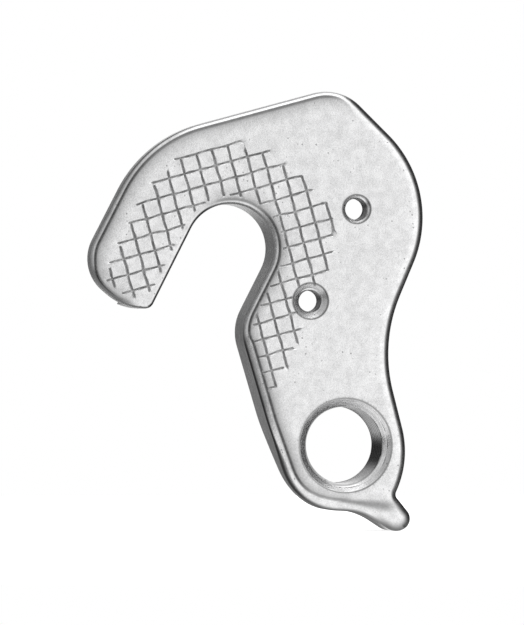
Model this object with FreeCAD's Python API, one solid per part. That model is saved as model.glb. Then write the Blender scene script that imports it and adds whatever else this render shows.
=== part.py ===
import FreeCAD, Part
import math
import os

# A bicycle derailleur hanger: one piece of forged aluminium that is screwed inside the right dropout of the frame.
# It stands upright as on the bicycle, seen from the wheel, with the front of the bicycle to the left. The origin
# is on the derailleur's thread, in the face that the hub's nut grips. Y is the thickness: Y = 0 is that gripped
# face, and +Y leads out through the hanger to the frame and the derailleur. Sizes are in millimetres.

Vector = FreeCAD.Vector
OUTWARDS = Vector(0, 1, 0)

# Depths from the gripped face
FLANGE_THICKNESS = 3.0        # the plate that lies against the dropout
BODY_THICKNESS = 6.8          # the lip round the axle and the lower body
EYE_THICKNESS = 8.0           # the seat round the derailleur's thread

# Axle slot, open to the front and down
AXLE_X = -13.5                # centre of its round end
AXLE_Z = 22.9
SLOT_WIDTH = 10.3             # a 10 mm axle and its clearance
SLOT_ANGLE = 63.0             # slope of the slot from level, in degrees
HOOK_REACH = 10.5             # from the axle's centre down the slot to the end of the hook
NOSE_REACH = 7.7              # from the axle's centre down the slot to the nose of the lower body
LIP_WIDTH = 3.0               # the raised lip beside the slot, on the outer side

# Thread for the derailleur, M10 x 1, drawn at its minor diameter
THREAD_BORE = 8.92
THREAD_CHAMFER = 1.0
SEAT_DIAMETER = 13.4
SEAT_CHAMFER = 0.6

# Two M3 threads for the frame's screws, on a line beside the slot and parallel to it
SCREW_BORE = 2.46
SCREW_SPACING = 12.0
SCREW_LINE_OFFSET = 11.1      # from the slot's centre line
SCREW_LINE_MIDDLE = 4.8       # the middle of the pair, past the axle's centre
UPPER_SCREW_CHAMFER = 0.42
LOWER_SCREW_CHAMFER = 0.85

# Corners of the outline round the axle, seen flat: where the two sides meet, to the right of the axle's centre and
# above it, and the radius that sweeps round there
HOOK_TIP_SWEEP = 1.1
HOOK_END_X = -12.4
HOOK_END_Z = -6.9
HOOK_END_SWEEP = 7.0
HOOK_HEEL_X = -17.7
HOOK_HEEL_Z = -2.4
HOOK_HEEL_SWEEP = 4.8
SHOULDER_X = -9.9
SHOULDER_Z = 12.7
SHOULDER_SWEEP = 15.0
CROWN_X = 13.0
CROWN_Z = 18.9
CROWN_SWEEP = 5.7
HIP_X = 25.3
HIP_Z = 6.8
HIP_SWEEP = 13.5

# Corners of the outline round the thread, to the right of its axis and above it
WAIST_X = 4.3
WAIST_Z = 12.0
WAIST_SWEEP = 17.5
EYE_X = 7.8
EYE_Z = -1.7
EYE_SWEEP = 11.0
NOTCH_X = 5.95
NOTCH_Z = -5.85
NOTCH_SWEEP = 0.7
STOP_TIP_X = 8.7
STOP_TIP_Z = -9.1
STOP_TIP_SWEEP = 1.4
STOP_UNDER_X = 6.0
STOP_UNDER_Z = -10.3
STOP_UNDER_SWEEP = 1.9
STOP_ROOT_X = 2.2
STOP_ROOT_Z = -7.8
STOP_ROOT_SWEEP = 7.5
CHIN_X = -5.5
CHIN_Z = -7.4
CHIN_SWEEP = 7.0
LEG_X = -9.1
LEG_Z = 2.5
LEG_SWEEP = 30.0
NOSE_SWEEP = 5.7

# Rounding of the edges on the gripped side
RIM_ROUND = 0.9
CHIN_ROUND = 2.0
STOP_ROUND = 1.2

# The outer side: small chamfers on its edges, and a round relief that thins the lower corner at the front
FLANGE_CHAMFER = 0.3
BODY_CHAMFER = 0.4
RELIEF_DIRECTION = 222.0      # where it faces, seen flat, in degrees
RELIEF_START = 2.5            # from the thread's axis
RELIEF_RADIUS = 6.0

# The step from the thick lower body to the flange
STEP_HEIGHT = 9.2
STEP_RISE = 0.6
STEP_TURN_X = -7.0
STEP_TURN_SWEEP = 3.0
LIP_FOOT_REACH = 6.2          # from the axle's centre down the slot to the foot of the lip
LIP_FOOT_SWEEP = 4.0

# Engraved grid on the gripped face: V grooves in two directions, a pitch apart
GRID_PITCH = 1.9
GRID_ANGLE = 15.4             # slope of the level lines
GRID_ACROSS = 0.8             # the crossing that lines are counted from, seen from the axle's centre
GRID_UP = 0.24
GROOVE_WIDTH = 0.26
GROOVE_DEPTH = 0.13
GRID_MARGIN = 0.1             # kept clear of the rounded edge

# Where each line starts and ends, in pitches. The field follows the washer of the hub's nut round the slot, then
# the hook and the nose. A line may cross the open slot, and it stops short of every rounded edge.
STEEP_LINES = {
    -8: (-0.75, 0.65), -7: (-1.4, 1.75), -6: (-1.3, 3.0), -5: (-0.65, 3.85), -4: (0.55, 4.8),
    -3: (1.8, 5.35), -2: (2.45, 6.0), -1: (3.0, 6.0), 0: (-9.0, 6.0), 1: (-8.0, 6.0),
    2: (-6.7, 5.4), 3: (-3.5, 5.0), 4: (-3.7, 4.0), 5: (-3.0, 3.0), 6: (-0.75, 1.0),
}
LEVEL_LINES = {
    6: (-2.3, 1.85), 5: (-4.0, 3.4), 4: (-5.35, 4.1), 3: (-6.1, 5.0), 2: (-7.05, 5.3), 1: (-7.85, 6.0),
    0: (-8.35, 6.05), -1: (-7.8, 5.8), -2: (0.0, 5.5), -3: (0.0, 5.05), -4: (0.0, 2.45), -5: (-1.0, 2.4),
    -6: (-0.55, 2.35), -7: (-0.55, 1.65), -8: (-0.6, 0.75), -9: (-0.65, 0.0),
}

# Margins of the tools that cut
PAST = 1.0                    # how far a cutting tool stands out of what it cuts
FAR = 80.0                    # clear of the whole part
NEAR = 1e-3                   # two points this close are one


def along_slot(along, across):
    """The point this far from the axle's centre along the slot, towards its closed end, and to its right."""
    angle = math.radians(SLOT_ANGLE)
    x = AXLE_X + along * math.cos(angle) + across * math.sin(angle)
    z = AXLE_Z + along * math.sin(angle) - across * math.cos(angle)
    return Vector(x, 0, z)


def from_axle(right, up):
    """The point this far to the right of the axle's centre and above it."""
    return Vector(AXLE_X + right, 0, AXLE_Z + up)


def outline_corners():
    """The outline, clockwise from the hook: each corner's point, its sweep radius and the rounding of its edge."""
    half = SLOT_WIDTH / 2
    return [
        (along_slot(-HOOK_REACH, -half), HOOK_TIP_SWEEP, RIM_ROUND),
        (from_axle(HOOK_END_X, HOOK_END_Z), HOOK_END_SWEEP, RIM_ROUND),
        (from_axle(HOOK_HEEL_X, HOOK_HEEL_Z), HOOK_HEEL_SWEEP, RIM_ROUND),
        (from_axle(SHOULDER_X, SHOULDER_Z), SHOULDER_SWEEP, RIM_ROUND),
        (from_axle(CROWN_X, CROWN_Z), CROWN_SWEEP, RIM_ROUND),
        (from_axle(HIP_X, HIP_Z), HIP_SWEEP, RIM_ROUND),
        (Vector(WAIST_X, 0, WAIST_Z), WAIST_SWEEP, RIM_ROUND),
        (Vector(EYE_X, 0, EYE_Z), EYE_SWEEP, RIM_ROUND),
        (Vector(NOTCH_X, 0, NOTCH_Z), NOTCH_SWEEP, RIM_ROUND),
        (Vector(STOP_TIP_X, 0, STOP_TIP_Z), STOP_TIP_SWEEP, STOP_ROUND),
        (Vector(STOP_UNDER_X, 0, STOP_UNDER_Z), STOP_UNDER_SWEEP, STOP_ROUND),
        (Vector(STOP_ROOT_X, 0, STOP_ROOT_Z), STOP_ROOT_SWEEP, CHIN_ROUND),
        (Vector(CHIN_X, 0, CHIN_Z), CHIN_SWEEP, CHIN_ROUND),
        (Vector(LEG_X, 0, LEG_Z), LEG_SWEEP, RIM_ROUND),
        (along_slot(-NOSE_REACH, half), NOSE_SWEEP, RIM_ROUND),
        (along_slot(half, half), half, RIM_ROUND),
        (along_slot(half, -half), half, RIM_ROUND),
    ]


def step_corners():
    """Where the thick part ends: the lower body's top, then the lip round the slot, closed far outside."""
    lip = SLOT_WIDTH / 2 + LIP_WIDTH
    return [
        (Vector(FAR, 0, STEP_HEIGHT), PAST),
        (Vector(STEP_TURN_X, 0, STEP_HEIGHT + STEP_RISE), STEP_TURN_SWEEP),
        (along_slot(-LIP_FOOT_REACH, lip), LIP_FOOT_SWEEP),
        (along_slot(lip, lip), lip),
        (along_slot(lip, -lip), lip),
        (along_slot(-FAR, -lip), PAST),
        (Vector(-FAR, 0, FAR), PAST),
        (Vector(FAR, 0, FAR), PAST),
    ]


def corner_arcs(corners):
    """For each corner, the start, middle and end of the arc that is tangent to the sides that meet there."""
    count = len(corners)
    points = [corner[0] for corner in corners]
    sides = [points[(i + 1) % count] - points[i] for i in range(count)]
    turns = [sides[i - 1].getAngle(sides[i]) for i in range(count)]
    reach = [corners[i][1] * math.tan(turns[i] / 2) for i in range(count)]
    share = [min(1.0, sides[i].Length / (reach[i] + reach[(i + 1) % count])) for i in range(count)]
    arcs = []
    for i in range(count):
        arriving = Vector(sides[i - 1]).normalize()
        leaving = Vector(sides[i]).normalize()
        length = reach[i] * min(share[i - 1], share[i])
        radius = length / math.tan(turns[i] / 2)
        inwards = (leaving - arriving).normalize()
        middle = points[i] + inwards * (radius / math.cos(turns[i] / 2) - radius)
        arcs.append((points[i] - arriving * length, middle, points[i] + leaving * length))
    return arcs


def rounded_wire(corners):
    """The closed wire of those arcs and the straight lines that are left between them."""
    arcs = corner_arcs(corners)
    edges = []
    for i, (start, middle, end) in enumerate(arcs):
        following = arcs[(i + 1) % len(arcs)][0]
        edges.append(Part.Arc(start, middle, end).toShape())
        if end.distanceToPoint(following) > NEAR:
            edges.append(Part.makeLine(end, following))
    return Part.Wire(edges)


def prism(wire, start, end):
    """The solid that a closed wire in the gripped face sweeps out between two depths."""
    face = Part.Face(wire)
    face.translate(OUTWARDS * start)
    return face.extrude(OUTWARDS * (end - start))


def flat_point(point):
    return Vector(point.x, 0, point.z)


def lies_at_depth(edge, depth):
    box = edge.BoundBox
    return abs(box.YMin - depth) < NEAR and abs(box.YMax - depth) < NEAR


def middle_of(edge):
    return edge.valueAt((edge.FirstParameter + edge.LastParameter) / 2)


def lies_on(edge, wire):
    """Whether the edge's middle lies on the wire, seen flat."""
    return wire.distToShape(Part.Vertex(flat_point(middle_of(edge))))[0] < NEAR


def with_rounded_edges(shape, radii_of):
    """The shape with rounded edges. radii_of(edge) gives the radii at an edge's two ends, or None."""
    document = FreeCAD.newDocument()
    plain = document.addObject("Part::Feature", "Plain")
    plain.Shape = shape
    rounded = document.addObject("Part::Fillet", "Rounded")
    rounded.Base = plain
    chosen = []
    for number, edge in enumerate(shape.Edges, 1):
        radii = radii_of(edge)
        if radii:
            chosen.append((number, *radii))
    rounded.Edges = chosen
    document.recompute()
    result = rounded.Shape.copy()
    FreeCAD.closeDocument(document.Name)
    return result


def make_blank():
    """The outline at the full thickness of the body, with the rounded edges of the gripped side."""
    corners = outline_corners()
    blank = prism(rounded_wire(corners), 0, BODY_THICKNESS)
    arc_ends = []
    for (start, _, end), corner in zip(corner_arcs(corners), corners):
        arc_ends.append((start, corner[2]))
        arc_ends.append((end, corner[2]))

    def front_radii(edge):
        if lies_at_depth(edge, 0):
            ends = [edge.valueAt(t) for t in (edge.FirstParameter, edge.LastParameter)]
            return [min(arc_ends, key=lambda known: known[0].distanceToPoint(end))[1] for end in ends]

    return with_rounded_edges(blank, front_radii)


def make_relief():
    """The tool that thins the body's lower corner: all that lies outside a cylinder, on the corner's side.

    It reaches as far to both sides of the thread's axis as the seat is wide, and so stays off the hook.
    """
    start = Vector(0, 0, -SEAT_DIAMETER)
    cylinder = Part.makeCylinder(RELIEF_RADIUS, 2 * SEAT_DIAMETER, start)
    block = Part.makeBox(FAR, FAR, 2 * SEAT_DIAMETER, start)
    tool = block.cut(cylinder)
    tool.translate(Vector(RELIEF_START, BODY_THICKNESS - RELIEF_RADIUS, 0))
    tool.rotate(Vector(0, 0, 0), OUTWARDS, -RELIEF_DIRECTION)
    return tool


def make_plate():
    """The plate: its outline, the step down to the flange behind it, the chamfers and the relief."""
    step = rounded_wire(step_corners())
    plate = make_blank().cut(prism(step, FLANGE_THICKNESS, BODY_THICKNESS + PAST))
    body_edges = [edge for edge in plate.Edges if lies_at_depth(edge, BODY_THICKNESS)]
    plate = plate.makeChamfer(BODY_CHAMFER, body_edges)
    flange_edges = [edge for edge in plate.Edges if lies_at_depth(edge, FLANGE_THICKNESS) and not lies_on(edge, step)]
    plate = plate.makeChamfer(FLANGE_CHAMFER, flange_edges)
    return plate.cut(make_relief())


def make_seat():
    """The round seat for the derailleur, standing out of the lower body on the outer side."""
    seat = Part.makeCylinder(SEAT_DIAMETER / 2, EYE_THICKNESS, Vector(0, 0, 0), OUTWARDS)
    rim = [edge for edge in seat.Edges if lies_at_depth(edge, EYE_THICKNESS)]
    seat = seat.makeChamfer(SEAT_CHAMFER, rim)
    inside = Part.makeCylinder(SEAT_DIAMETER / 2 + PAST, BODY_THICKNESS / 2, Vector(0, 0, 0), OUTWARDS)
    return seat.cut(inside)


def bore(centre, diameter, depth, front_chamfer, back_chamfer):
    """The tool for a hole through the part, with a 45 degree chamfer at each mouth."""
    radius = diameter / 2
    half_profile = [
        Vector(0, -PAST, 0),
        Vector(radius + front_chamfer + PAST, -PAST, 0),
        Vector(radius, front_chamfer, 0),
        Vector(radius, depth - back_chamfer, 0),
        Vector(radius + back_chamfer + PAST, depth + PAST, 0),
        Vector(0, depth + PAST, 0),
    ]
    face = Part.Face(Part.makePolygon(half_profile + half_profile[:1]))
    tool = face.revolve(Vector(0, 0, 0), OUTWARDS, 360)
    tool.translate(centre)
    return tool


def make_bores():
    half_spacing = SCREW_SPACING / 2
    upper = along_slot(SCREW_LINE_MIDDLE + half_spacing, SCREW_LINE_OFFSET)
    lower = along_slot(SCREW_LINE_MIDDLE - half_spacing, SCREW_LINE_OFFSET)
    return [
        bore(Vector(0, 0, 0), THREAD_BORE, EYE_THICKNESS, THREAD_CHAMFER, SEAT_CHAMFER),
        bore(upper, SCREW_BORE, FLANGE_THICKNESS, UPPER_SCREW_CHAMFER, 0),
        bore(lower, SCREW_BORE, FLANGE_THICKNESS, LOWER_SCREW_CHAMFER, 0),
    ]


def groove(start, end):
    """The tool for one V groove: a triangular bar from start to end, its point at the groove's depth."""
    along = (end - start).normalize()
    across = along.cross(OUTWARDS)
    rise = GROOVE_DEPTH
    half = GROOVE_WIDTH * (GROOVE_DEPTH + rise) / GROOVE_DEPTH / 2
    corners = [
        start + across * half - OUTWARDS * rise,
        start - across * half - OUTWARDS * rise,
        start + OUTWARDS * GROOVE_DEPTH,
    ]
    return Part.Face(Part.makePolygon(corners + corners[:1])).extrude(end - start)


def make_grid():
    """The tools for all the grooves, in both directions, cut off at the rounded edge of the outline."""
    angle = math.radians(GRID_ANGLE)
    right = Vector(math.cos(angle), 0, math.sin(angle))
    up = Vector(-math.sin(angle), 0, math.cos(angle))
    zero = along_slot(0, 0) + right * GRID_ACROSS + up * GRID_UP

    def crossing(column, row):
        return zero + (right * column + up * row) * GRID_PITCH

    tools = []
    for column, (bottom, top) in STEEP_LINES.items():
        tools.append(groove(crossing(column, bottom), crossing(column, top)))
    for row, (first, last) in LEVEL_LINES.items():
        tools.append(groove(crossing(first, row), crossing(last, row)))
    limit = rounded_wire(outline_corners()).makeOffset2D(-RIM_ROUND - GRID_MARGIN)
    field = prism(limit, -PAST, PAST)
    return [tool.common(field) for tool in tools]


def make_hanger():
    hanger = make_plate().fuse(make_seat())
    hanger = hanger.cut(make_bores())
    return hanger.cut(make_grid())


os.makedirs("parts", exist_ok=True)
make_hanger().exportStep("parts/derailleur_hanger.step")
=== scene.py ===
import math

import bmesh
import bpy
import numpy as np
from mathutils.geometry import delaunay_2d_cdt
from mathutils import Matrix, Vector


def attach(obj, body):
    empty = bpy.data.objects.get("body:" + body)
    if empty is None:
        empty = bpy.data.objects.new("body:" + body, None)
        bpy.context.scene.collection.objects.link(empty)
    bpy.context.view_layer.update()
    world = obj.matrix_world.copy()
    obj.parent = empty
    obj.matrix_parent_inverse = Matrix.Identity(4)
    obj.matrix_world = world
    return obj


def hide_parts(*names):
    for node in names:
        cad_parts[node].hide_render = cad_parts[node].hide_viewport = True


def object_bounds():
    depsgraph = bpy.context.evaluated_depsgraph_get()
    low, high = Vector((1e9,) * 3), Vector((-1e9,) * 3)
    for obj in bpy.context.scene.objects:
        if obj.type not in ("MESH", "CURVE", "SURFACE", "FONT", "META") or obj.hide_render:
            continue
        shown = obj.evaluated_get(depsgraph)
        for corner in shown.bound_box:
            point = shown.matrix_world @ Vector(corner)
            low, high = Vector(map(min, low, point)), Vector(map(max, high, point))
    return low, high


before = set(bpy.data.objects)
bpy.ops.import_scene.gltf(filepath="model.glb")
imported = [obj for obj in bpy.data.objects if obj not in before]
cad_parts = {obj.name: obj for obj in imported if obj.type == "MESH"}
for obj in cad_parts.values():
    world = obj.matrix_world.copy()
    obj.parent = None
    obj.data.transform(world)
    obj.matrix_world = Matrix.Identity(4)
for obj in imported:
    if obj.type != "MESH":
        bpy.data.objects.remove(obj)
cad_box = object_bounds()

# A bicycle derailleur hanger of tumbled aluminium. The solid's own mesh keeps the walls, the step and the
# outer side. The gripped face, with its rolled edges and scribed grid, and the three threaded holes are
# worked out finer here and welded in. Shapes are in millimetres until they become a mesh: X and Z across
# the plate, Y the depth behind the gripped face. A pair of numbers with no comment of its own is a range:
# where something starts and where it is full or gone, smooth between them.

MM = 0.001
NODE = "derailleur_hanger"

# Seed of all the unevenness
SEED = 7

# The photograph's view: from the left of the plate's normal, level with it
IMAGE_WIDTH = 524
IMAGE_HEIGHT = 625
PIXELS_PER_METRE = 8600
THREAD_AXIS_PIXEL = (345.75, 445.4)
CAMERA_AZIMUTH = math.radians(-10)
LENS = 400
SENSOR = 36

# How bright the room that the metal mirrors is: degrees from straight in front of the gripped face, towards
# the right, and the brightness. It holds near the horizon, and HIGH_ROOM from the range of degrees above and
# below it. DULL_ROOM lights what isn't metal
ROOM = (
    (-180, 0.45), (-174, 0.14), (-164, 0.10), (-156, 0.12), (-138, 0.18), (-110, 0.26), (-91, 0.32),
    (-76, 0.43), (-60, 0.57), (-38, 0.78), (-26, 0.86), (-8, 0.84), (8, 0.90), (24, 1.10), (58, 1.12),
    (70, 0.85), (82, 0.34), (94, 0.26), (138, 0.30), (150, 0.55), (162, 0.92), (175, 0.92), (180, 0.45),
)
HIGH_RANGE = (40, 60)
HIGH_ROOM = 0.80
DULL_ROOM = 0.9

# The room is dimmer to the left of the place that the gripped face mirrors, in a ring round it
FACE_GLANCE = math.radians(10)
RING_START = (6, 14)
RING_END = (36, 50)
RING_SIDE = (-0.15, 0.25)     # from how far left to how far right it fades, 1 being straight right
RING_DIMMING = 0.30

# The floor: its own grey, what is added to it for the camera, and the glow that the metal mirrors of it,
# with painted shade that dims that glow behind the hanger and to its left
FLOOR_RADIUS = 0.16
FLOOR_CORNERS = 96
FLOOR_GREY = (0.85, 0.85, 0.85, 1)
FLOOR_GLOW = 0.6
FLOOR_MIRRORED = 0.95
FLOOR_PAINTED_SHADE = 0.77
FLOOR_BEHIND = (1 * MM, 6 * MM)
FLOOR_LEFT = (19 * MM, 49 * MM)

# The lamp, in metres, degrees and watts
LAMP_SIZE = 0.5
LAMP_PLACE = (0.1, -0.15, 0.5)
LAMP_TURN = (17, 11, 0)
LAMP_POWER = 0.7

# Places of the axle slot and the line of screws beside it. The two axes run along the slot and across it
AXLE = np.array((-13.5, 22.9))
SLOT_ANGLE = math.radians(63)
SLOT_AXES = np.array((
    (math.cos(SLOT_ANGLE), math.sin(SLOT_ANGLE)),
    (math.sin(SLOT_ANGLE), -math.cos(SLOT_ANGLE)),
))
SLOT_HALF = 6.2
SLOT_ENDS = (-14, 6.5)        # along the slot from the axle's centre
SCREW_LINE_OFFSET = 11.1

# Reading the solid. Its triangles are made anew where they face the front this much, or lie less deep than
# this, or face a hole's axis this much and lie this near to its wall
TOWARDS_FRONT = -0.02
SHALLOW = 0.195
TOWARDS_AXIS = -0.3
WALL_SLACK = 0.2
GROOVE_DEPTH_SLACK = 0.002
SHORTEST_GROOVE = 0.01

# The rolled edge of the gripped face
STATION = 0.3                 # spacing of the points along the outline
BAND_ANGLES = np.radians((0, 10, 19, 28, 37, 46, 55, 63, 71, 78, 84, 90))
ROLL_DEPTH = 0.05             # the face sinks this much towards its edge, beyond the rolled edge itself
ROLL_REACH = 0.7
STOP_ROLL = 3                 # how much more it sinks on the narrow stop at the lower right
REACH = {"leg": 0.95, "hook": 0.55, "right": 1.35, "top": 0.58, "bottom": 1.35, "hook_below": 0.36}
SLOT_REACH = {"near": 0.6, "far": 0.5}
REACH_BLUR = 6                # how often the reach and the directions are averaged with their neighbours
TURN_BLUR = 2
STOP_WIDTH = 0.45             # the rolled edge's own grid is this wide there, and the face goes on rounding
SIDE_RANGE = (0.2, 0.8)       # how far an edge faces to one side, 1 being straight
SLOT_SIDE_RANGE = (-0.6, 0.6)
HOOK_BELOW_RANGE = (0.1, 0.5)
HOOK_HEIGHTS = (13, 17)       # where the leg's left edge ends and the hook's starts
STOP_ASIDE = (3.0, 5.0)
STOP_BELOW = (5.5, 7.5)

# The points of the face, and how far they keep from each other
RING_STEPS = (0.15, 0.32, 0.52, 0.76, 1.05, 1.4, 1.8)
RING_SLACK = 0.02
MOUTH_STEPS = (0.07, 0.17, 0.32)
MOUTH_POINTS = 90
FIELD_SPACING = 0.5
CLEAR = {"edge": 0.08, "mouth": 0.06, "rings": 0.2, "groove": 1.8}
SLIVER = 0.001                # twice the area of a flat triangle, over its longest side squared

# The scribed grid
GROOVE_DEPTH = 0.13
GROOVE_HALF = 0.17            # half its width, which varies by this share, over this length
GROOVE_SPREAD = 0.25
GROOVE_SPREAD_LENGTH = 1.0
WOBBLE = 0.07
WOBBLE_LENGTH = 2.6
BURR_HEIGHT = 0.014           # its mean share of this height varies over this length
BURR_MEAN = 0.6
BURR_LENGTH = 0.8
BURR_REACH = 0.11
BURR_RISE = 6                 # how much steeper it is towards the groove
GROOVE_STATION = 0.15
GROOVE_ROWS = (-0.29, -0.22, -0.17, -0.09, 0.0, 0.09, 0.17, 0.22, 0.29)

# Unevenness: how many waves are added, their lengths as shares of the one asked for, and the strength of all
WAVES = 8
WAVE_LENGTHS = (0.7, 1.5)
WAVE_STRENGTH = 1.6

# The threads
THREAD_ROWS = 16              # rows of points in one pitch
FLANK = (0.125, 0.75)         # a tooth's flank, in halves of a pitch from the middle of the groove
THREAD_FADE = 0.4             # the tooth fades over this depth before the back chamfer
MOUTH_BREAK = ((0.1, 0.0), (0.035, 0.01))     # rows that break the chamfer's edge: how far out, how deep
COARSE = 0.75                 # a larger pitch is the large thread's

# Neighbouring faces that meet at more than this are shaded apart
SHARP_ANGLE = math.radians(30)
WELD = MM / 500
BRIDGE_SLACK = 0.3

# The crease along the rolled edge: its dark line of painted shade, and the painted shade beside it on the
# face
NEAR_FACE = 0.3
CREASE_RANGE = (-0.75, 0.0)   # of how far the edge faces left
CREASE_LESS = {"below": 0.32, "above": 0.2}   # how much weaker it is where the edge faces down or up
UPRIGHT_RANGE = (0.5, 0.9)
CREASE_LINE = (0.08, 0.30)
CREASE_MIDDLE = 0.02
SHADE_START = (-0.15, 0.1)
SHADE_END = (0.0, 1.9)
SHADE_PARTS = (0.65, 0.35)    # strength of the near part, which falls off over SHADE_NEAR, and the wide part
SHADE_NEAR = 0.25
CREASE_STOP_ASIDE = (-0.2, 1.8)
CREASE_STOP_BELOW = (4.5, 5.5)

# The hook's narrow lower tip, where the crease ends
HOOK_TIP = np.array((-23.8, 16.7))
HOOK_TIP_RANGE = (0.6, 2.0)

# The painted shade of the soft crease at the root of the stop: it widens and then fades towards the right
STOP_ROOT = np.array(((-0.6, -6.35), (1.0, -6.6), (3.4, -6.9), (5.2, -7.1), (6.0, -6.9)))
ROOT_CORE = 0.05
ROOT_WIDTHS = (0.45, 0.55)    # at the left end, and how much wider at the right
ROOT_WIDENING = (0.5, 4.5)
ROOT_STRENGTHS = (0.66, 0.36)     # at the left end, and how much weaker at the right
ROOT_FADING = (4.6, 6.0)

# The painted dark reflections on the rolled edge, drawn as outlines: their strength, and the shares of its
# width where they begin to fade and are gone
PAINTED_REFLECTIONS = {
    "right": (1.0, 0.36, 0.54), "slot": (1.0, 0.58, 0.76), "leg": (1.0, 0.14, 0.26),
    "top": (0.45, 0.10, 0.35), "chin": (0.62, 0.12, 0.34),
    "stop": (0.9, 0.05, 0.95), "stop_right": (1.0, 0.25, 0.85),
}
OUTLINE_START = (0.0, 0.012)
RIGHT_RANGE = (0.1, 0.6)
UP_DOWN_RANGE = (0.3, 0.8)
SLOT_EDGE_RANGE = (0.55, 0.75)
LEG_HEIGHTS = (11, 15)
TOP_HEIGHTS = (24, 28)
CHIN_DEPTHS = (1.0, 4.0)
BAND_DEPTH = 0.99             # share of the rolled edge's depth that is marked

# Marks in the holes: painted shade as lines where the chamfers start and end, turned rings on them, and
# painted shade on the threads, darker in their grooves. The large thread's wall has painted shade, darkest
# on one side
MOUTH_LINE = (0.03, 0.16)
BORE_LINE = (0.02, 0.13)
LINE_STRENGTH = {"large": 0.72, "small": 0.85}
THREAD_SHADE = {"large": (0.45, 0.5), "small": (0.80, 0.18)}   # on the tooth, and more in the groove
THREAD_SLACK = 0.05
INSIDE_MOUTH = 0.2
CHAMFER_SLACK = {"radius": 0.01, "depth": 0.02}
TURNED = (0.05, 0.10)         # mean and swing of the turned rings
TURNED_RINGS = (26, 3, 7)     # how close they are, and how far and how often their spacing drifts
DARK_SIDE_TURN = 12
DARK_SIDE_RANGE = (8, 52)
DARK_SIDE = 0.96

# The finish, from 0 for bright to 1 for black
GROOVE_RANGE = (-0.2, 0.4)
NOISES = (
    {"Scale": 5200, "Detail": 3, "Roughness": 0.7},
    {"Scale": 900, "Detail": 4, "Roughness": 0.65},
    {"Scale": 330, "Detail": 1},
)
NOISE_RANGE = (0.3, 0.7)
PIT_SCALE = 1500
PIT_RANGE = (0.05, 0.22)
PITTED_RANGE = (0.50, 0.64)
PIT_DARK = 0.6
# These three darken the colour as painted shade: in the grooves, on the lines, which also paint dark
# reflections on the rolled edge's outlines, and beside the crease
GROOVE_SHADE = (0.34, 0.36)        # darkness of each mark at least, and how much more by its noise
LINE = (0.84, 0.12)
SHADE = (0.80, 0.20)
BRIGHT = 0.88
BLUE = 1.005                  # the metal is this much bluer than grey
UNEVENNESS = {"fine": 0.18, "cloudy": 0.16, "broad": 0.06}
RELIEF = {"strength": 0.3, "depth": 0.05 * MM, "mottle": 0.8, "pits": 2}
ROUGHNESS = {"metal": 0.22, "mottle": 0.08, "groove_shade": 0.55}


class Thread:
    """A threaded hole: its centre, smaller and larger radius, pitch, depth, the chamfers at its two mouths,
    and how many columns of points go round it."""

    def __init__(self, centre, minor, major, pitch, depth, front_chamfer, back_chamfer, columns):
        self.centre = np.array(centre)
        self.minor = minor
        self.major = major
        self.pitch = pitch
        self.depth = depth
        self.front_chamfer = front_chamfer
        self.back_chamfer = back_chamfer
        self.columns = columns
        self.size = "large" if pitch > COARSE else "small"
        self.mouth = minor + front_chamfer


def screw_centre(reach):
    """The centre of a screw hole, this far past the axle's centre on the line of screws beside the slot."""
    return AXLE + np.array((reach, SCREW_LINE_OFFSET)) @ SLOT_AXES


THREADS = [
    Thread(
        centre=(0, 0), minor=4.46, major=5.0, pitch=1.0, depth=8.0, front_chamfer=1.0, back_chamfer=0.6,
        columns=120,
    ),
    Thread(
        centre=screw_centre(10.8), minor=1.23, major=1.5, pitch=0.5, depth=3.0, front_chamfer=0.42,
        back_chamfer=0.0, columns=60,
    ),
    Thread(
        centre=screw_centre(-1.2), minor=1.23, major=1.5, pitch=0.5, depth=3.0, front_chamfer=0.85,
        back_chamfer=0.0, columns=60,
    ),
]


class Socket:
    """An output of a node. Arithmetic on it adds Math nodes to the same tree."""

    def __init__(self, graph, output):
        self.graph = graph
        self.output = output

    def math(self, operation, *values):
        return self.graph.add("ShaderNodeMath", {"operation": operation}, dict(enumerate(values)))

    def __add__(self, other):
        return self.math("ADD", self, other)

    def __sub__(self, other):
        return self.math("SUBTRACT", self, other)

    def __rsub__(self, other):
        return self.math("SUBTRACT", other, self)

    def __mul__(self, other):
        return self.math("MULTIPLY", self, other)

    def __truediv__(self, other):
        return self.math("DIVIDE", self, other)

    __radd__ = __add__
    __rmul__ = __mul__

    def largest(self, other):
        return self.math("MAXIMUM", self, other)

    def ramp(self, low, high):
        """0 below low, 1 above high, and smooth between them."""
        values = {"Value": self, "From Min": low, "From Max": high}
        return self.graph.add("ShaderNodeMapRange", {"interpolation_type": "SMOOTHSTEP"}, values)


class Graph:
    """The node tree of a material or world, started empty."""

    def __init__(self, owner):
        owner.use_nodes = True
        self.tree = owner.node_tree
        self.tree.nodes.clear()

    def add(self, kind, settings=None, values=None, output=0):
        """Adds a node: its settings first, then the values or links of its sockets. Gives one of its
        outputs."""
        node = self.tree.nodes.new(kind)
        for name, setting in (settings or {}).items():
            if name == "stops":
                self.set_stops(node.color_ramp, setting)
            else:
                setattr(node, name, setting)
        for name, value in (values or {}).items():
            if isinstance(value, Socket):
                self.tree.links.new(value.output, node.inputs[name])
            else:
                node.inputs[name].default_value = value
        return Socket(self, node.outputs[output]) if len(node.outputs) else node

    @staticmethod
    def set_stops(ramp, stops):
        """The ramp's stops, each a place and a grey."""
        while len(ramp.elements) < len(stops):
            ramp.elements.new(0.5)
        for element, (place, grey) in zip(ramp.elements, stops):
            element.position = place
            element.color = (grey, grey, grey, 1)


def new_material(name):
    """A material and its empty node tree."""
    material = bpy.data.materials.new(name)
    return material, Graph(material)


# Smooth steps


def smooth_step(low, high, value):
    """0 below low, 1 above high, and 3 t squared less 2 t cubed between them."""
    t = np.clip((value - low) / (high - low), 0, 1)
    return t * t * (3 - 2 * t)


def fall(low, high, value):
    """1 below low, 0 above high, and smooth between them."""
    return 1 - smooth_step(low, high, value)


# Reading the solid


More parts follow.
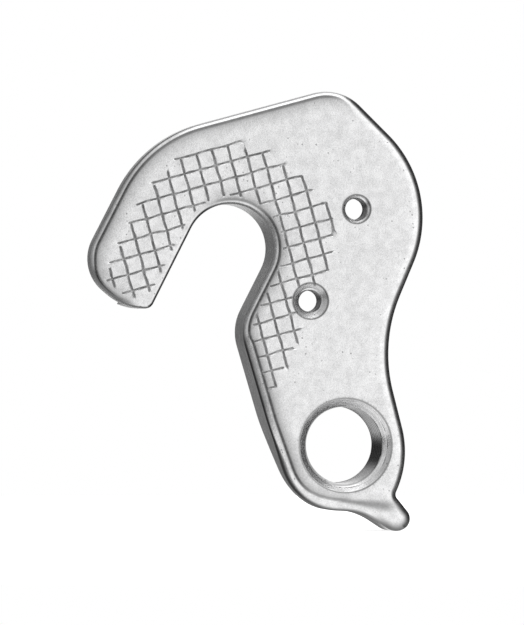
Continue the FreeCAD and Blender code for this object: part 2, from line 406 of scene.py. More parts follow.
def read_solid():
    """The points and triangles of the solid's mesh, in millimetres, its loose triangles joined at their
    corners."""
    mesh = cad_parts[NODE].data.copy()
    work = bmesh.new()
    work.from_mesh(mesh)
    bmesh.ops.remove_doubles(work, verts=work.verts, dist=MM / 1000)
    work.to_mesh(mesh)
    work.free()
    points = np.empty(len(mesh.vertices) * 3, np.float32)
    mesh.vertices.foreach_get("co", points)
    triangles = np.empty(len(mesh.loops), np.int32)
    mesh.loops.foreach_get("vertex_index", triangles)
    bpy.data.meshes.remove(mesh)
    return points.reshape(-1, 3).astype(float) / MM, triangles.reshape(-1, 3)


def without_front_and_bores(points, triangles):
    """The triangles that are neither on the gripped side nor in a hole's wall: those face away from -Y, and
    lie deeper than the grooves, and don't look at a hole's axis from close by."""
    sides = points[triangles]
    normals = np.cross(sides[:, 1] - sides[:, 0], sides[:, 2] - sides[:, 0])
    normals /= np.maximum(np.linalg.norm(normals, axis=1, keepdims=True), 1e-12)
    middles = sides.mean(axis=1)
    drop = (normals[:, 1] < TOWARDS_FRONT) | (middles[:, 1] < SHALLOW)
    for thread in THREADS:
        away = middles[:, (0, 2)] - thread.centre
        distance = np.linalg.norm(away, axis=1)
        facing = (away * normals[:, (0, 2)]).sum(axis=1) / np.maximum(distance, 1e-9)
        drop |= (distance < thread.major + WALL_SLACK) & (facing < TOWARDS_AXIS)
    return triangles[~drop]


def open_loops(triangles):
    """The open edges of a mesh, put together into closed loops of point numbers, each in the triangles' own
    turn."""
    ends = np.concatenate([triangles[:, (0, 1)], triangles[:, (1, 2)], triangles[:, (2, 0)]])
    known = set(map(tuple, ends.tolist()))
    following = {start: end for start, end in known if (end, start) not in known}
    loops = []
    while following:
        loop = [next(iter(following))]
        while loop[-1] in following:
            loop.append(following.pop(loop[-1]))
        loops.append(np.array(loop[:-1]))
    return loops


def loop_directions(loop):
    """The direction of a closed loop at each of its points, seen flat.

    It is the mean of the two sides' directions, each weighed by the other's length, which is exact on an
    arc. Where one side is three times as long as the other, it is a straight line that meets an arc, and
    its direction holds.
    """
    sides = np.roll(loop, -1, axis=0) - loop
    lengths = np.linalg.norm(sides, axis=1)
    units = sides / lengths[:, None]
    before = np.roll(units, 1, axis=0)
    length_before = np.roll(lengths, 1)
    share = length_before / (length_before + lengths)
    share = np.where(lengths > 3 * length_before, 1.0, np.where(length_before > 3 * lengths, 0.0, share))
    direction = before * (1 - share[:, None]) + units * share[:, None]
    return direction / np.linalg.norm(direction, axis=1, keepdims=True)


def refine_outline(points, triangles, loop):
    """Adds points along the solid's outline and fans its triangles out to them. Gives all points, the
    triangles and the longer loop.

    Between two points of the loop the new ones lie on a cubic that leaves and arrives in the loop's
    directions, so that arcs stay arcs. Their depth runs evenly from one end to the other.
    """
    flat = points[loop][:, (0, 2)]
    depth = points[loop][:, 1]
    direction = loop_directions(flat)
    ends = np.roll(np.arange(len(loop)), -1)
    chords = np.linalg.norm(flat[ends] - flat, axis=1)
    counts = np.maximum(np.ceil(chords / STATION).astype(int) - 1, 0)
    owner = {}
    for number, triangle in enumerate(triangles):
        for turn in range(3):
            owner[(triangle[turn], triangle[(turn + 1) % 3])] = (number, triangle[(turn + 2) % 3])
    added, fans, dropped, longer = [], [], [], []
    next_number = len(points)
    for i, count in enumerate(counts):
        start, end = loop[i], loop[ends[i]]
        longer.append(start)
        if not count:
            continue
        t = (np.arange(count) + 1) / (count + 1)
        reach = chords[i]
        place = (
            np.outer(2 * t**3 - 3 * t**2 + 1, flat[i])
            + np.outer(t**3 - 2 * t**2 + t, direction[i] * reach)
            + np.outer(3 * t**2 - 2 * t**3, flat[ends[i]])
            + np.outer(t**3 - t**2, direction[ends[i]] * reach)
        )
        level = depth[i] + (depth[ends[i]] - depth[i]) * t
        added.append(np.stack([place[:, 0], level, place[:, 1]], axis=1))
        numbers = list(range(next_number, next_number + count))
        next_number += count
        longer.extend(numbers)
        triangle, opposite = owner[(start, end)]
        dropped.append(triangle)
        chain = [start, *numbers, end]
        fans.extend((a, b, opposite) for a, b in zip(chain, chain[1:]))
    kept = np.delete(triangles, dropped, axis=0)
    return np.concatenate([points, *added]), np.concatenate([kept, np.array(fans)]), np.array(longer)


# The gripped side


def nearest_side(spots, starts, ends, block=3000):
    """For each spot, the distance to the nearest of some straight sides, and the number of that side. The
    nearest place on a side is the foot of the perpendicular, held between the side's ends."""
    along = ends - starts
    squared = np.maximum((along**2).sum(axis=1), 1e-12)
    distances, numbers = [], []
    for first in range(0, len(spots), block):
        away = spots[first:first + block, None, :] - starts[None]
        share = np.clip((away * along).sum(axis=2) / squared, 0, 1)
        gap = np.linalg.norm(away - along * share[..., None], axis=2)
        nearest = gap.argmin(axis=1)
        distances.append(gap[np.arange(len(nearest)), nearest])
        numbers.append(nearest)
    return np.concatenate(distances), np.concatenate(numbers)


def is_inside(spots, loop, block=4000):
    """Whether each spot is inside a closed loop: a line from it to the right crosses the loop an odd number
    of times."""
    ends = np.roll(loop, -1, axis=0)
    inside = []
    for first in range(0, len(spots), block):
        x, z = spots[first:first + block, 0, None], spots[first:first + block, 1, None]
        spans = (loop[:, 1] > z) != (ends[:, 1] > z)
        rise = np.where(ends[:, 1] == loop[:, 1], 1e-12, ends[:, 1] - loop[:, 1])
        crossing = loop[:, 0] + (z - loop[:, 1]) / rise * (ends[:, 0] - loop[:, 0])
        inside.append((spans & (x < crossing)).sum(axis=1) % 2 == 1)
    return np.concatenate(inside)


def uneven(spots, length, seed):
    """Smooth unevenness from about -1 to 1 across the plate: the mean of some waves of about this length,
    each with its own direction and phase, made stronger."""
    random = np.random.default_rng(seed)
    total = np.zeros(len(spots))
    for _ in range(WAVES):
        angle = random.uniform(0, math.tau)
        turns = math.tau / (length * random.uniform(*WAVE_LENGTHS))
        direction = np.array((math.cos(angle), math.sin(angle)))
        total += np.sin(spots @ (direction * turns) + random.uniform(0, math.tau))
    return total / WAVES * WAVE_STRENGTH


class Front:
    """The gripped side of the hanger: the depth of its surface anywhere inside the outline."""

    def __init__(self, outline, groove_starts, groove_ends):
        self.loop = outline[:, (0, 2)]
        self.rim_depth = outline[:, 1]
        self.groove_starts = groove_starts
        self.groove_ends = groove_ends
        direction = loop_directions(self.loop)
        area = (self.loop * np.roll(self.loop, -1, axis=0)[:, ::-1] * (1, -1)).sum()
        inwards = np.stack([-direction[:, 1], direction[:, 0]], axis=1) * math.copysign(1, area)
        for _ in range(TURN_BLUR):
            inwards = np.roll(inwards, 1, axis=0) + 2 * inwards + np.roll(inwards, -1, axis=0)
            inwards /= np.linalg.norm(inwards, axis=1, keepdims=True)
        self.inwards = inwards
        self.rim_reach = self.reach()
        stop = self.stop(self.loop)
        self.rim_width = self.rim_reach + (np.minimum(self.rim_reach, STOP_WIDTH) - self.rim_reach) * stop

    def reach(self):
        """How far the rounding of the edge reaches into the face at each place on the outline, by the way
        that the edge faces, and less in the slot."""
        facing, rising = -self.inwards.T
        height = self.loop[:, 1]
        left, right = smooth_step(*SIDE_RANGE, -facing), smooth_step(*SIDE_RANGE, facing)
        downward = np.where(height < 0, REACH["bottom"], REACH["hook_below"])
        upright = np.where(rising < 0, downward, REACH["top"])
        narrower = REACH["hook_below"] - REACH["hook"]
        hook = REACH["hook"] + narrower * smooth_step(*HOOK_BELOW_RANGE, -rising)
        leftward = REACH["leg"] + (hook - REACH["leg"]) * smooth_step(*HOOK_HEIGHTS, height)
        reach = upright * (1 - left - right) + leftward * left + REACH["right"] * right
        along, across = ((self.loop - AXLE) @ SLOT_AXES).T
        near, far = SLOT_REACH["near"], SLOT_REACH["far"]
        slot_reach = far + (near - far) * smooth_step(*SLOT_SIDE_RANGE, -facing)
        in_slot = (abs(across) < SLOT_HALF) & (along > SLOT_ENDS[0]) & (along < SLOT_ENDS[1])
        reach = np.where(in_slot, slot_reach, reach)
        for _ in range(REACH_BLUR):
            reach = (np.roll(reach, 1) + reach + np.roll(reach, -1)) / 3
        return reach

    @staticmethod
    def stop(spots):
        """How far a spot is on the narrow stop at the lower right, from 0 to 1."""
        return smooth_step(*STOP_ASIDE, spots[..., 0]) * smooth_step(*STOP_BELOW, -spots[..., 1])

    def roll(self, distance, spots):
        """The slight sinking of the face towards its edge: x times e to the power of 1 less x, which peaks
        where x is 1. The stop sinks more, so that it is round."""
        x = distance / ROLL_REACH
        return ROLL_DEPTH * (1 + STOP_ROLL * self.stop(spots)) * x * np.exp(1 - x)

    def band(self):
        """The rolled edge as a grid, from the wall to the face: at each place on the outline, part of a
        quarter of an ellipse as deep as the solid's edge is there, and as wide as its reach."""
        rows = []
        last = np.arccos(1 - self.rim_width / self.rim_reach)
        for angle in BAND_ANGLES:
            distance = self.rim_reach * (1 - np.cos(angle * last / BAND_ANGLES[-1]))
            place = self.loop + self.inwards * distance[:, None]
            depth = self.rounding(distance, self.rim_reach, self.rim_depth) + self.roll(distance, place)
            rows.append(np.stack([place[:, 0], depth, place[:, 1]], axis=1))
        rows[-1][:, 1] = self.depth(place)
        return np.array(rows)

    @staticmethod
    def rounding(distance, reach, depth):
        """The depth of a quarter of an ellipse at a distance from its outer end: 1 less the root of 1 less
        x squared, where x runs from 1 at the outer end to 0 at its reach."""
        x = np.clip(1 - distance / reach, 0, 1)
        return depth * (1 - np.sqrt(1 - x * x))

    def nearest(self, spots):
        """The distance to the outline, and the number of its nearest side."""
        return nearest_side(spots, self.loop, np.roll(self.loop, -1, axis=0))

    def groove(self, spots):
        """How far across a groove a spot is, from 1 in its bottom to 0 at its edge, less than 0 outside."""
        gap, _ = nearest_side(spots - self.wobble(spots), self.groove_starts, self.groove_ends)
        half = GROOVE_HALF * (1 + GROOVE_SPREAD * uneven(spots, GROOVE_SPREAD_LENGTH, SEED))
        return 1 - gap / half

    @staticmethod
    def wobble(spots):
        """How far the grooves wander from their straight lines."""
        aside, up = [uneven(spots, WOBBLE_LENGTH, SEED + step) for step in (2, 3)]
        return WOBBLE * np.stack([aside, up], axis=-1)

    def depth(self, spots):
        """The depth of the face: its roll towards the edge, V grooves, and a burr thrown up beside each
        groove."""
        gap, number = self.nearest(spots)
        groove = self.groove(spots)
        beside = (-groove * GROOVE_HALF) / BURR_REACH
        burr = np.where(groove < 0, np.clip(1 - beside, 0, 1) * np.clip(beside * BURR_RISE, 0, 1), 0)
        burr *= BURR_HEIGHT * np.clip(BURR_MEAN + uneven(spots, BURR_LENGTH, SEED + 1), 0, 2)
        edge = self.rounding(gap, self.rim_reach[number], self.rim_depth[number]) + self.roll(gap, spots)
        return edge + GROOVE_DEPTH * np.clip(groove, 0, 1) - burr


def grid_of_spots(low, high, spacing):
    """Spots in staggered rows over a rectangle."""
    x = np.arange(low[0], high[0], spacing)
    z = np.arange(low[1], high[1], spacing * math.sqrt(3) / 2)
    across, up = np.meshgrid(x, z)
    across[1::2] += spacing / 2
    return np.stack([across.ravel(), up.ravel()], axis=1)


def face_spots(front, holes):
    """Where the face gets its points: rings that follow the edge, rows along the grooves, and a field
    between."""
    rings = []
    for step in RING_STEPS:
        rings.append(front.loop + front.inwards * (front.rim_width + step)[:, None])
    rings = np.concatenate(rings)
    wanted = np.concatenate([front.rim_width + step for step in RING_STEPS])
    gap, _ = front.nearest(rings)
    rings = rings[(gap > wanted - RING_SLACK) & is_inside(rings, front.loop)]

    rows = []
    for start, end in zip(front.groove_starts, front.groove_ends):
        length = np.linalg.norm(end - start)
        along = (end - start) / length
        across = np.array((-along[1], along[0]))
        stations = np.linspace(0, length, max(int(length / GROOVE_STATION) + 1, 2))
        row = start + stations[:, None, None] * along + np.outer(GROOVE_ROWS, across)
        rows.append(row.reshape(-1, 2))
    rows = np.concatenate(rows)
    rows += front.wobble(rows)

    turns = np.linspace(0, math.tau, MOUTH_POINTS, endpoint=False)
    mouths = []
    for hole in holes:
        centre = hole.mean(axis=0)
        radius = np.linalg.norm(hole - centre, axis=1).max()
        for step in MOUTH_STEPS:
            mouths.append(centre + (radius + step) * np.stack([np.cos(turns), np.sin(turns)], axis=1))
    mouths = np.concatenate(mouths)

    field = grid_of_spots(front.loop.min(axis=0), front.loop.max(axis=0), FIELD_SPACING)
    field = field[front.groove(field) < -CLEAR["groove"]]
    gap, number = front.nearest(field)
    field = field[gap > front.rim_width[number] + RING_STEPS[-1] + CLEAR["rings"]]

    spots = np.concatenate([rings, rows, mouths, field])
    gap, number = front.nearest(spots)
    keep = (gap > front.rim_width[number] + CLEAR["edge"]) & is_inside(spots, front.loop)
    for hole in holes:
        centre = hole.mean(axis=0)
        radius = np.linalg.norm(hole - centre, axis=1).max()
        keep &= np.linalg.norm(spots - centre, axis=1) > radius + CLEAR["mouth"]
    return spots[keep]


def face_surface(front, rims):
    """The face inside the rolled edge: triangles between its own points, the edge's last row and the holes'
    mouths. Each triangle is kept where its middle is inside the edge and outside the holes."""
    edge, *holes = loops = [rim[:, (0, 2)] for rim in rims]
    starts = np.cumsum([0] + [len(loop) for loop in loops])
    sides = []
    for start, loop in zip(starts, loops):
        numbers = start + np.arange(len(loop))
        sides.extend(zip(numbers.tolist(), np.roll(numbers, -1).tolist()))
    spots = np.concatenate([*loops, face_spots(front, holes)])
    found = delaunay_2d_cdt(spots.tolist(), sides, [], 0, 1e-6, True)
    flat = np.array([tuple(spot) for spot in found[0]])
    triangles = np.array(found[2])
    middles = flat[triangles].mean(axis=1)
    keep = is_inside(middles, edge)
    for hole in holes:
        keep &= ~is_inside(middles, hole)
    settle_slivers(flat, triangles, keep)
    points = np.stack([flat[:, 0], front.depth(flat), flat[:, 1]], axis=1)
    known = np.concatenate(rims)
    for number, originals in enumerate(found[3]):
        if originals and originals[0] < len(known):
            points[number] = known[originals[0]]
    return points, triangles[keep]


def settle_slivers(flat, triangles, keep):
    """Three points on a straight side make a triangle with no width, which may lie on either side of it by
    rounding. Each is kept or not as the triangle across its longest side is, the longest first."""
    corners = flat[triangles]
    sides = np.roll(corners, -1, axis=1) - corners
    lengths = np.linalg.norm(sides, axis=2)
    area = abs(sides[:, 0, 0] * sides[:, 1, 1] - sides[:, 0, 1] * sides[:, 1, 0])
    owner = {}
    for number, (a, b, c) in enumerate(triangles.tolist()):
        owner.update({(a, b): number, (b, c): number, (c, a): number})
    slivers = np.flatnonzero(area < SLIVER * lengths.max(axis=1) ** 2)
    for number in slivers[np.argsort(-lengths[slivers].max(axis=1))]:
        longest = lengths[number].argmax()
        start, end = triangles[number][longest], triangles[number][(longest + 1) % 3]
        across = owner.get((end, start))
        keep[number] = across is not None and keep[across]


# The holes


def thread_wall(thread, front):
    """The wall of a threaded hole as a grid, from the face through the front chamfer to just short of the
    back.

    The rows climb with the thread: a row's depth is its number times the step, less the pitch times the
    share of a full turn, held between the two mouths. The radius is the largest of four: the smaller
    radius; the thread's own 60 degree tooth, which depends on the row alone and fades out at the back; and
    the two chamfers, which fall a millimetre for each millimetre of depth. Two more rows break the front
    chamfer's edge.
    """
    step = thread.pitch / THREAD_ROWS
    end = thread.depth - step
    last_row = math.ceil((end + thread.pitch) / step)
    turn, row = np.meshgrid(np.linspace(0, 1, thread.columns + 1), np.arange(last_row + 1))
    depth = np.clip(row * step - thread.pitch * turn, step, end)
    across = abs(row / THREAD_ROWS % 1 * 2 - 1)
    tooth = np.clip((FLANK[1] - across) / (FLANK[1] - FLANK[0]), 0, 1)
    tooth *= fall(end - thread.back_chamfer - THREAD_FADE, end - thread.back_chamfer, depth)
    radius = thread.minor + (thread.major - thread.minor) * tooth
    radius = np.maximum(radius, thread.mouth - depth)
    radius = np.maximum(radius, thread.minor + thread.back_chamfer - (thread.depth - depth))
    edge = np.ones(thread.columns + 1)
    radius = np.concatenate([[edge * (thread.mouth + out) for out, _ in MOUTH_BREAK], radius])
    depth = np.concatenate([[edge * deep for _, deep in MOUTH_BREAK], depth])
    angle = turn[0] * math.tau
    x = thread.centre[0] + radius * np.cos(angle)
    z = thread.centre[1] + radius * np.sin(angle)
    sunk = front.depth(np.stack([x[0], z[0]], axis=1))
    return np.stack([x, depth + sunk * (depth < step), z], axis=2)


def grid_faces(rows, columns, closed):
    """The four-sided faces of a grid whose rows may close on themselves."""
    numbers = np.arange(rows * columns).reshape(rows, columns)
    following = np.roll(numbers, -1, axis=1)
    faces = np.stack([numbers[:-1], following[:-1], following[1:], numbers[1:]], axis=2)
    return (faces if closed else faces[:, :-1]).reshape(-1, 4)


# The whole mesh


def weld(name, surfaces):
    """One mesh of several surfaces, each an array of points and one of faces, joined where they meet."""
    points, faces, offset = [], [], 0
    for surface_points, surface_faces in surfaces:
        points.append(surface_points.reshape(-1, 3))
        faces.extend((surface_faces + offset).tolist())
        offset += len(points[-1])
    mesh = bpy.data.meshes.new(name)
    mesh.from_pydata(np.concatenate(points) * MM, [], faces)
    work = bmesh.new()
    work.from_mesh(mesh)
    bmesh.ops.remove_doubles(work, verts=work.verts, dist=WELD)
    for thread in THREADS:
        bridge_back(work, thread)
    bmesh.ops.recalc_face_normals(work, faces=work.faces)
    for face in work.faces:
        face.smooth = True
    for edge in work.edges:
        edge.smooth = edge.calc_face_angle(0) < SHARP_ANGLE
    work.to_mesh(mesh)
    work.free()
    return mesh


def bridge_back(work, thread):
    """Closes the narrow ring between a thread's last row and the solid's own mouth at the back."""
    limit = (thread.major + BRIDGE_SLACK) * MM
    ring = []
    for edge in work.edges:
        if len(edge.link_faces) == 1:
            middle = (edge.verts[0].co + edge.verts[1].co) / 2
            if math.hypot(middle.x - thread.centre[0] * MM, middle.z - thread.centre[1] * MM) < limit:
                ring.append(edge)
    bmesh.ops.bridge_loops(work, edges=ring)


def groove_bottoms(points, triangles):
    """The bottom line of each groove of the solid: the edges whose two ends lie at the groove's depth."""
    deep = abs(points[:, 1] - GROOVE_DEPTH) < GROOVE_DEPTH_SLACK
    ends = np.concatenate([triangles[:, (0, 1)], triangles[:, (1, 2)], triangles[:, (2, 0)]])
    ends = ends[(ends[:, 0] < ends[:, 1]) & deep[ends].all(axis=1)]
    flat = points[:, (0, 2)]
    starts, ends = flat[ends[:, 0]], flat[ends[:, 1]]
    keep = np.linalg.norm(ends - starts, axis=1) > SHORTEST_GROOVE
    return starts[keep], ends[keep]


def make_hanger():
    """The whole hanger: the solid's walls and outer side, the rolled edge, the face and the holes."""
    points, triangles = read_solid()
    bottoms = groove_bottoms(points, triangles)
    kept = without_front_and_bores(points, triangles)
    outline = max(open_loops(kept), key=len)
    points, kept, outline = refine_outline(points, kept, outline)
    front = Front(points[outline], *bottoms)
    band = front.band()
    walls = [thread_wall(thread, front) for thread in THREADS]
    rims = [band[-1], *(wall[0][:-1] for wall in walls)]
    surfaces = [(points, kept), (band, grid_faces(*band.shape[:2], True))]
    surfaces += [(wall, grid_faces(*wall.shape[:2], False)) for wall in walls]
    surfaces.append(face_surface(front, rims))
    mesh = weld("hanger", surfaces)
    mark_mesh(mesh, front)
    hanger = bpy.data.objects.new("hanger", mesh)
    bpy.context.scene.collection.objects.link(hanger)
    flats = hanger.modifiers.new("flats", "WEIGHTED_NORMAL")
    flats.keep_sharp = True
    return hanger


def crease_strength(outwards, spots):
    """How strongly the painted shade in the crease along the rolled edge is marked: fully where the edge
    faces left, not where it faces right, less above and below, and not at the hook's narrow tip or by the
    stop."""
    facing, rising = outwards.T
    strength = smooth_step(*CREASE_RANGE, -facing)
    strength *= 1 - CREASE_LESS["below"] * smooth_step(*UPRIGHT_RANGE, -rising)
    strength *= 1 - CREASE_LESS["above"] * smooth_step(*UPRIGHT_RANGE, rising)
    strength *= smooth_step(*HOOK_TIP_RANGE, np.linalg.norm(spots - HOOK_TIP, axis=1))
    by_stop = smooth_step(*CREASE_STOP_ASIDE, spots[:, 0]) * smooth_step(*CREASE_STOP_BELOW, -spots[:, 1])
    return strength * (1 - by_stop)


def stop_root(spots):
    """The painted shade of the soft crease at the root of the stop, by the distance from its middle line."""
    away, _ = nearest_side(spots, STOP_ROOT[:-1], STOP_ROOT[1:])
    width = ROOT_WIDTHS[0] + ROOT_WIDTHS[1] * smooth_step(*ROOT_WIDENING, spots[:, 0])
    strength = ROOT_STRENGTHS[0] - ROOT_STRENGTHS[1] * smooth_step(*ROOT_FADING, spots[:, 0])
    return strength * fall(ROOT_CORE, width, away)


def painted_reflection_mark(name, share, wider=0.0):
    """A painted dark reflection on the rolled edge, drawn as an outline, by the share of the edge's width,
    full at its outer end.
    """
    strength, low, high = PAINTED_REFLECTIONS[name]
    return strength * fall(low + wider, high + wider, share)


def painted_dark_reflections(front, outwards, number, spots, share):
    """The painted dark reflections on the rolled edge, drawn as outlines: right of the hanger and in the
    slot, left of the leg, above, under the chin, and all round the stop."""
    facing, rising = outwards.T
    height = spots[:, 1]
    right = smooth_step(*RIGHT_RANGE, facing)
    left = smooth_step(*SIDE_RANGE, -facing) * fall(*LEG_HEIGHTS, height)
    upper = smooth_step(*UP_DOWN_RANGE, rising) * smooth_step(*TOP_HEIGHTS, height)
    lower = smooth_step(*UP_DOWN_RANGE, -rising) * smooth_step(*CHIN_DEPTHS, -height)
    wider = (PAINTED_REFLECTIONS["slot"][1] - PAINTED_REFLECTIONS["right"][1]) * fall(*SLOT_EDGE_RANGE, front.rim_reach[number])
    found = np.maximum(right * painted_reflection_mark("right", share, wider), left * painted_reflection_mark("leg", share))
    found = np.maximum(found, upper * painted_reflection_mark("top", share))
    found = np.maximum(found, lower * painted_reflection_mark("chin", share))
    on_stop = front.stop(spots)
    stop = np.maximum(right * painted_reflection_mark("stop_right", share), painted_reflection_mark("stop", share))
    return (found * (1 - on_stop) + on_stop * stop) * smooth_step(*OUTLINE_START, share)


def in_thread(thread, radius, depth):
    """Whether a point is on a thread's wall, behind its front chamfer."""
    return (radius < thread.major + THREAD_SLACK) & (depth > thread.front_chamfer)


def mark_holes(spots, depth, line):
    """Adds painted shade as dark lines round the holes to "line", and gives "thread": the turned rings on
    the chamfers, painted shade on the threads, and more painted shade on one side of the large thread."""
    threaded = np.zeros(len(spots))
    for thread in THREADS:
        radius = np.linalg.norm(spots - thread.centre, axis=1)
        # Painted shade as dark lines where each hole's chamfer starts and ends
        ring = fall(*MOUTH_LINE, abs(radius - thread.mouth - CREASE_MIDDLE))
        inner_ring = fall(*BORE_LINE, abs(depth - thread.front_chamfer))
        inner_ring *= radius < thread.mouth - INSIDE_MOUTH
        marked = np.maximum(line, np.maximum(ring, inner_ring) * LINE_STRENGTH[thread.size])
        line = np.where((depth < NEAR_FACE) | (radius < thread.mouth), marked, line)
        inner = in_thread(thread, radius, depth)
        # Painted shade on the threads, darker in their grooves; the chamfers get turned rings
        crest, deeper = THREAD_SHADE[thread.size]
        tooth = np.clip((radius - thread.minor) / (thread.major - thread.minor), 0, 1)
        threaded = np.where(inner, crest + deeper * tooth, threaded)
        chamfer = (radius < thread.mouth) & (radius > thread.minor - CHAMFER_SLACK["radius"])
        chamfer &= ~inner & (depth > CHAMFER_SLACK["depth"])
        waves, drift, slow = TURNED_RINGS
        turned = TURNED[0] + TURNED[1] * np.sin(radius * waves + drift * np.sin(radius * slow))
        threaded = np.where(chamfer, turned, threaded)
    # Painted shade on one side of the large thread's wall
    inner = in_thread(THREADS[0], np.linalg.norm(spots - THREADS[0].centre, axis=1), depth)
    turn = np.degrees(np.arctan2(spots[:, 1], spots[:, 0]))
    dark_side = fall(*DARK_SIDE_RANGE, abs(turn + DARK_SIDE_TURN)) * DARK_SIDE
    return line, np.where(inner, np.maximum(threaded, dark_side), threaded)


def mark_mesh(mesh, front):
    """Writes where the finish is painted dark, as attributes of the points.

    "groove" is 1 in the bottom of a groove, 0 at its edge and less outside, and paints shade there. The
    others
    run from 0 to 1: "line" paints shade in the crease along the rolled edge and round the holes and dark
    reflections on its outlines, "fade" paints shade beside the crease on the face, and "thread" paints shade
    in the threads and turned rings on the chamfers.
    """
    points = np.empty(len(mesh.vertices) * 3, np.float32)
    mesh.vertices.foreach_get("co", points)
    points = points.reshape(-1, 3).astype(float) / MM
    spots, depth = points[:, (0, 2)], points[:, 1]
    near_face = depth < NEAR_FACE
    groove = np.where(near_face, np.clip(front.groove(spots), -1, 1), -1)

    gap, number = front.nearest(spots)
    outwards = -front.inwards[number]
    inside = gap - front.rim_reach[number]
    strength = crease_strength(outwards, spots)
    # Painted shade: a dark line in the crease along the rolled edge, softer shade beside it on the face, and
    # the soft crease at the root of the stop
    line = fall(*CREASE_LINE, abs(inside - CREASE_MIDDLE)) * strength
    near, wide = SHADE_PARTS
    fade = near * np.exp(-np.maximum(inside, 0) / SHADE_NEAR) + wide * fall(*SHADE_END, inside)
    fade *= smooth_step(*SHADE_START, inside) * strength
    fade = np.maximum(fade, stop_root(spots)) * near_face
    # Painted dark reflections, drawn as outlines on the rolled edge
    outlines = painted_dark_reflections(front, outwards, number, spots, gap / front.rim_reach[number])
    in_band = depth < front.rim_depth[number] * BAND_DEPTH
    line = np.where(in_band, np.maximum(line, outlines), 0)
    line, threaded = mark_holes(spots, depth, line)

    for name, values in (("groove", groove), ("line", line), ("fade", fade), ("thread", threaded)):
        attribute = mesh.attributes.new(name, "FLOAT", "POINT")
        attribute.data.foreach_set("value", values.astype(np.float32))


# Finishes


def aluminium_finish():
    """Tumbled aluminium: bright and finely mottled, with dark pits, with painted shade in the grooves, in
    the crease along the rolled edge and in the threads, and painted dark reflections on the rolled edge's
    outlines."""
    material, graph = new_material("tumbled_aluminium")
    place = graph.add("ShaderNodeTexCoord", output=3)
    grain, mottle, spread = [
        graph.add("ShaderNodeTexNoise", {}, {"Vector": place, **noise}) for noise in NOISES
    ]
    pits = graph.add("ShaderNodeTexVoronoi", {"feature": "F1"}, {"Vector": place, "Scale": PIT_SCALE})
    groove, line, fade, thread = [
        graph.add("ShaderNodeAttribute", {"attribute_name": name}, output=2)
        for name in ("groove", "line", "fade", "thread")
    ]
    fine, cloudy, broad = [noise.ramp(*NOISE_RANGE) for noise in (grain, mottle, spread)]
    pitted = (1 - pits.ramp(*PIT_RANGE)) * spread.ramp(*PITTED_RANGE)

    # Painted shade in the grooves, which are also made rougher
    groove_shade = groove.ramp(*GROOVE_RANGE) * (GROOVE_SHADE[0] + cloudy * GROOVE_SHADE[1])
    # Painted shade in the crease, beside it and round the holes, painted dark reflections on the outlines,
    # and painted shade in the threads
    dark = groove_shade.largest(line * (LINE[0] + fine * LINE[1]))
    dark = dark.largest(fade * (SHADE[0] + cloudy * SHADE[1])).largest(thread)
    dark = dark.largest(pitted * PIT_DARK)
    tone = BRIGHT + (fine - 0.5) * UNEVENNESS["fine"] + (cloudy - 0.5) * UNEVENNESS["cloudy"]
    shade = (tone + (broad - 0.5) * UNEVENNESS["broad"]) * (1 - dark)
    colour = graph.add("ShaderNodeCombineColor", {}, {"Red": shade, "Green": shade, "Blue": shade * BLUE})
    relief = {
        "Strength": RELIEF["strength"],
        "Distance": RELIEF["depth"],
        "Height": grain + mottle * RELIEF["mottle"] - pitted * RELIEF["pits"],
    }
    rough = ROUGHNESS["metal"] + mottle * ROUGHNESS["mottle"]
    values = {
        "Base Color": colour,
        "Metallic": 1.0,
        "Roughness": rough + groove_shade * ROUGHNESS["groove_shade"],
        "Normal": graph.add("ShaderNodeBump", {}, relief),
    }
    shader = graph.add("ShaderNodeBsdfPrincipled", {}, values)
    graph.add("ShaderNodeOutputMaterial", {}, {"Surface": shader})
    return material


# Stage


def make_camera():
    """The photograph's camera: a long lens, so that a metre is as many pixels near as far."""
    camera = bpy.data.objects.new("camera", bpy.data.cameras.new("camera"))
    bpy.context.scene.collection.objects.link(camera)
    right = np.array((math.cos(CAMERA_AZIMUTH), math.sin(CAMERA_AZIMUTH), 0))
    back = np.array((math.sin(CAMERA_AZIMUTH), -math.cos(CAMERA_AZIMUTH), 0))
    up = np.array((0, 0, 1))
    aside = (IMAGE_WIDTH / 2 - THREAD_AXIS_PIXEL[0]) / PIXELS_PER_METRE
    above = (THREAD_AXIS_PIXEL[1] - IMAGE_HEIGHT / 2) / PIXELS_PER_METRE
    distance = LENS / SENSOR * IMAGE_HEIGHT / PIXELS_PER_METRE
    camera.location = right * aside + up * above + back * distance
    camera.rotation_euler = (math.pi / 2, 0, CAMERA_AZIMUTH)
    camera.data.lens = LENS
    camera.data.sensor_width = SENSOR
    camera.data.clip_start = 0.01
    camera.data.clip_end = 20
    bpy.context.scene.camera = camera


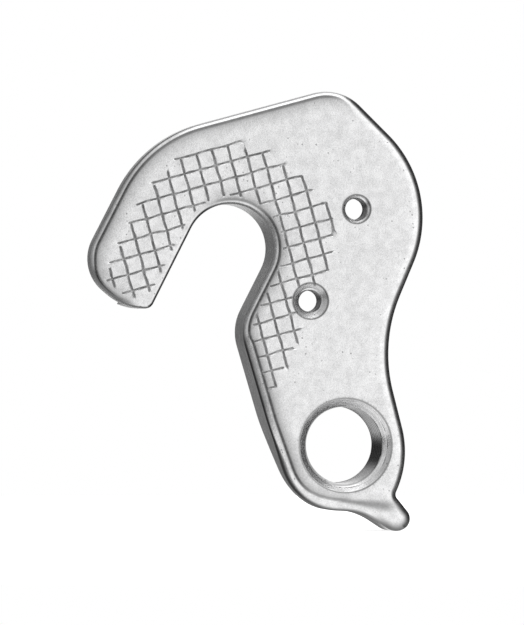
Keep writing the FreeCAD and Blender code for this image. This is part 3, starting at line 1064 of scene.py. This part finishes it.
def make_world():
    """A white room. The metal shows it with the things that a studio has round it: the dim side where the
    camera stands, and dark cards behind and beside the hanger."""
    world = bpy.data.worlds.new("room")
    bpy.context.scene.world = world
    graph = Graph(world)
    direction = graph.add("ShaderNodeTexCoord", output=0)
    x, y, z = [graph.add("ShaderNodeSeparateXYZ", {}, {"Vector": direction}, output=i) for i in range(3)]
    azimuth = x.math("ARCTAN2", x, 0 - y) / math.tau + 0.5
    elevation = z.math("ARCSINE", z) * (180 / math.pi)
    stops = [(degrees / 360 + 0.5, grey) for degrees, grey in ROOM]
    belt = graph.add("ShaderNodeValToRGB", {"stops": stops}, {"Fac": azimuth})
    high = elevation.math("ABSOLUTE", elevation).ramp(*HIGH_RANGE)
    ahead = x * math.sin(FACE_GLANCE) - y * math.cos(FACE_GLANCE)
    aside = x * math.cos(FACE_GLANCE) + y * math.sin(FACE_GLANCE)
    turned = ahead.math("ARCCOSINE", ahead) * (180 / math.pi)
    dim = turned.ramp(*RING_START) * (1 - turned.ramp(*RING_END)) * (1 - aside.ramp(*RING_SIDE))
    room = (belt * (1 - high) + high * HIGH_ROOM) * (1 - dim * RING_DIMMING)
    camera, glossy = [graph.add("ShaderNodeLightPath", output=i) for i in (0, 3)]
    strength = (room * glossy + (1 - glossy) * DULL_ROOM) * (1 - camera) + camera
    background = graph.add("ShaderNodeBackground", {}, {"Color": (1, 1, 1, 1), "Strength": strength})
    graph.add("ShaderNodeOutputWorld", {}, {"Surface": background})


def make_floor():
    """A round pale floor at the lowest point of the hanger. To the camera it is as bright as the room
    behind it. The metal mirrors a glow on it, bright in front of the hanger, with painted shade behind and
    to the left."""
    low = cad_box[0].z
    angles = np.linspace(0, math.tau, FLOOR_CORNERS, endpoint=False)
    x, y = FLOOR_RADIUS * np.cos(angles), FLOOR_RADIUS * np.sin(angles)
    rim = np.stack([x, y, np.full(len(angles), low)], axis=1)
    mesh = bpy.data.meshes.new("floor")
    mesh.from_pydata(rim, [], [list(range(len(rim)))])
    floor = bpy.data.objects.new("floor", mesh)
    bpy.context.scene.collection.objects.link(floor)
    material, graph = new_material("pale_floor")
    place = graph.add("ShaderNodeTexCoord", output=3)
    x, y = [graph.add("ShaderNodeSeparateXYZ", {}, {"Vector": place}, output=i) for i in (0, 1)]
    # Painted shade in the glow that the metal mirrors, behind the hanger and to its left
    dim = y.ramp(*FLOOR_BEHIND).largest((0 - x).ramp(*FLOOR_LEFT))
    camera, glossy = [graph.add("ShaderNodeLightPath", output=i) for i in (0, 3)]
    diffuse = graph.add("ShaderNodeBsdfDiffuse", {}, {"Color": FLOOR_GREY})
    glow = graph.add("ShaderNodeEmission", {}, {"Strength": FLOOR_GLOW})
    bright = graph.add("ShaderNodeAddShader", {}, {0: diffuse, 1: glow})
    seen = graph.add("ShaderNodeMixShader", {}, {0: camera, 1: diffuse, 2: bright})
    mirrored = graph.add("ShaderNodeEmission", {}, {"Strength": FLOOR_MIRRORED - dim * FLOOR_PAINTED_SHADE})
    surface = graph.add("ShaderNodeMixShader", {}, {0: glossy, 1: seen, 2: mirrored})
    graph.add("ShaderNodeOutputMaterial", {}, {"Surface": surface})
    floor.data.materials.append(material)


def make_lamp():
    """One wide soft lamp over the hanger."""
    data = bpy.data.lights.new("softbox", "AREA")
    data.shape = "RECTANGLE"
    data.size = LAMP_SIZE
    data.size_y = LAMP_SIZE
    data.energy = LAMP_POWER
    lamp = bpy.data.objects.new("softbox", data)
    lamp.location = LAMP_PLACE
    lamp.rotation_euler = [math.radians(angle) for angle in LAMP_TURN]
    bpy.context.scene.collection.objects.link(lamp)


bpy.context.scene.view_settings.view_transform = "Standard"
make_camera()
make_world()
make_floor()
make_lamp()

hanger = make_hanger()
hanger.data.materials.append(aluminium_finish())
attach(hanger, "root")
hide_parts(NODE)
